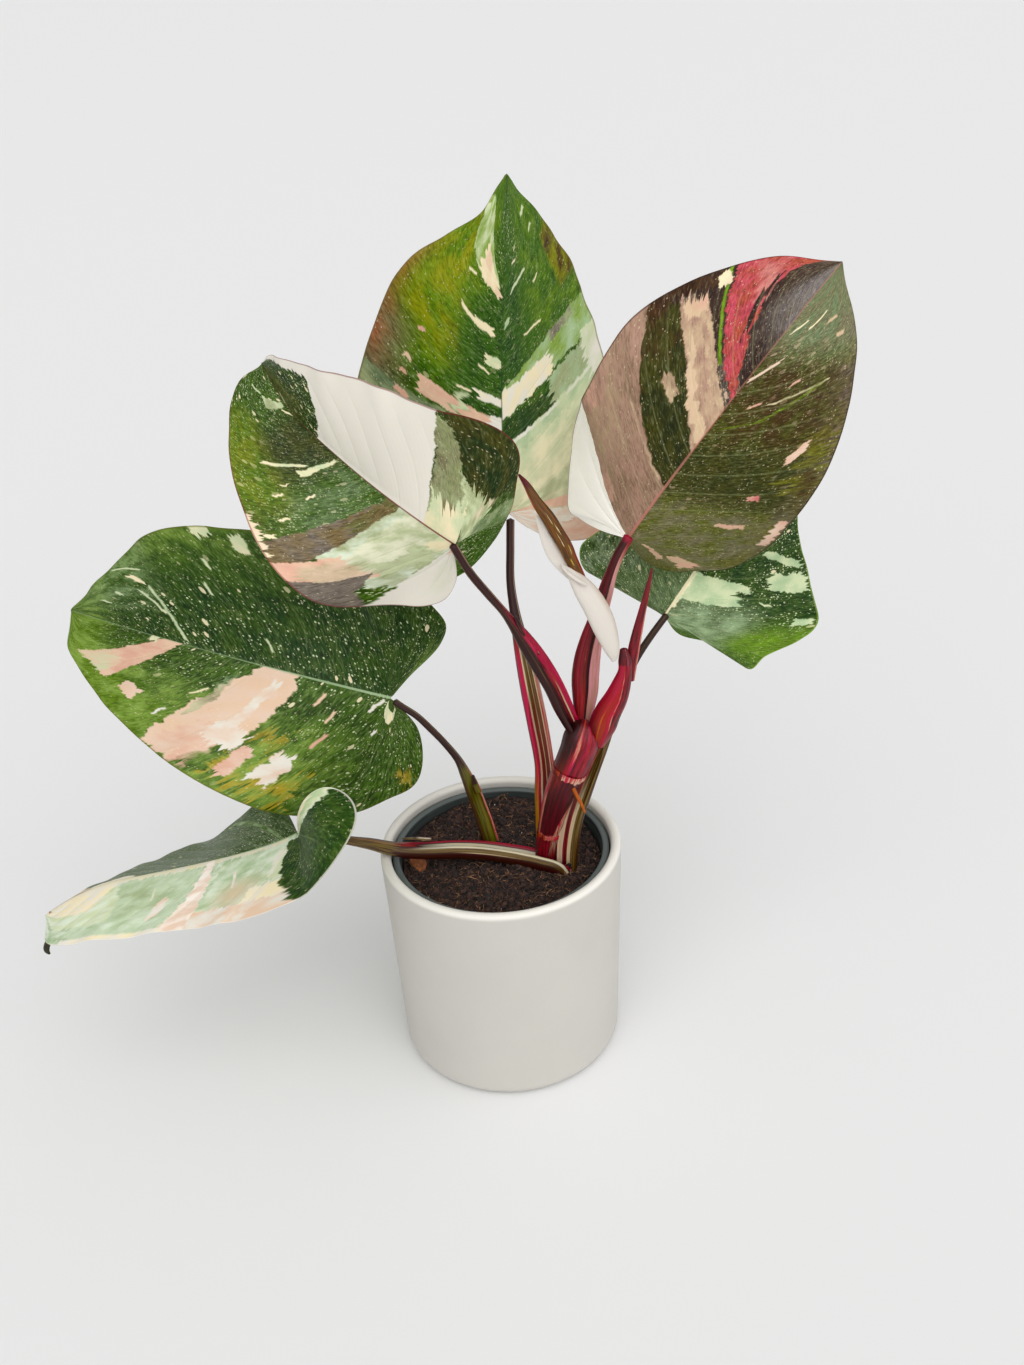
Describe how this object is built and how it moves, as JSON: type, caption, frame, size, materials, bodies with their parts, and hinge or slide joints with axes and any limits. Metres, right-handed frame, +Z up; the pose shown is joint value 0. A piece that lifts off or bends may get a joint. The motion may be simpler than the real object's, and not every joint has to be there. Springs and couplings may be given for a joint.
{
  "type": "potted variegated philodendron",
  "caption": "Upright foliage houseplant with broad heart-shaped variegated leaves on crimson stalks, growing from soil in a plain round white ceramic pot.",
  "frame": {"origin": "centre of the cover pot's underside, on the surface it stands on", "axes": "+Z up, -Y towards the picture's viewer, +X to the viewer's right"},
  "size_m": [0.4483, 0.1813, 0.4931],
  "materials": {
    "ceramic": "matte",
    "nursery_plastic": "satin",
    "potting_soil": "matte",
    "bark": "matte",
    "stem_skin": "satin",
    "sheath_skin": "satin",
    "petiole_skin": "satin",
    "young_leaf_skin": "satin",
    "root_skin": "matte",
    "green_leaf": "satin",
    "pale_leaf": "satin",
    "rose_leaf": "satin"
  },
  "bodies": {
    "root": {"cover_pot": "ceramic", "nursery_pot": "nursery_plastic", "soil": "potting_soil", "bark_chip": "bark", "stem": "stem_skin", "petiole_top": "petiole_skin", "petiole_wide": "petiole_skin", "petiole_back": "petiole_skin", "petiole_low": "petiole_skin", "petiole_left": "petiole_skin", "petiole_right": "sheath_skin", "young_sheath": "sheath_skin", "young_leaf": "young_leaf_skin", "spear": "sheath_skin", "aerial_root": "root_skin", "blade_top": "green_leaf", "blade_left": "pale_leaf", "blade_right": "rose_leaf", "blade_back": "green_leaf", "blade_wide": "green_leaf", "blade_low": "pale_leaf"}
  },
  "joints": []
}
